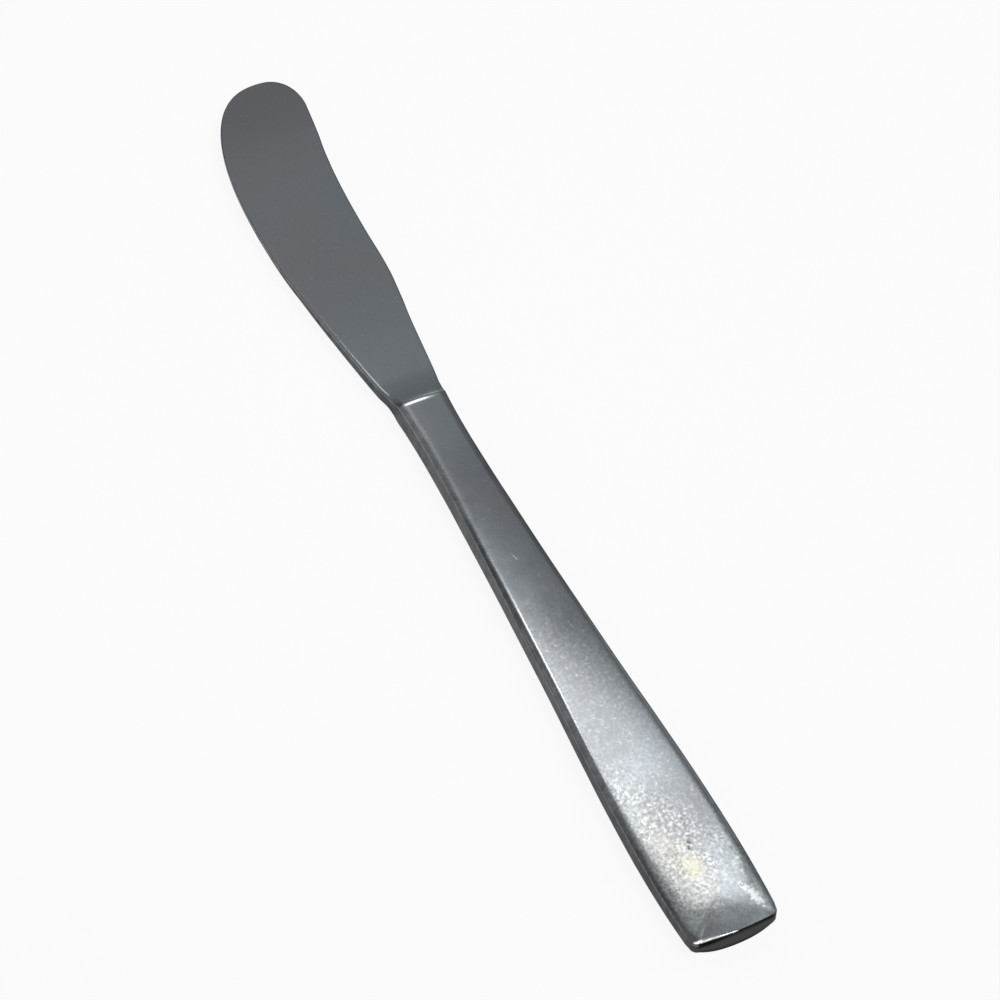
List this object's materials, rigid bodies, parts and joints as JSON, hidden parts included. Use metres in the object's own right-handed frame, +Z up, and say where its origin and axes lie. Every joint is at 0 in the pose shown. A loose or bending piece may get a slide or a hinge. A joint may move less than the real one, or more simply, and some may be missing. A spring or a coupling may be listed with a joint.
{
  "type": "butter knife",
  "caption": "One-piece steel butter knife: broad rounded spreading blade, low shoulder, and a flat handle that widens to a squared butt.",
  "frame": {"origin": "bottom centre of the knife's box, on the surface it lies on", "axes": "+X along the knife from the butt to the tip, +Y towards the belly of the blade, +Z up out of the upper face"},
  "size_m": [0.165, 0.0172, 0.0042],
  "materials": {
    "satin_steel": "satin stainless steel, tumbled grain with fine scratches from use"
  },
  "bodies": {
    "root": {"knife": "satin_steel"}
  },
  "joints": []
}
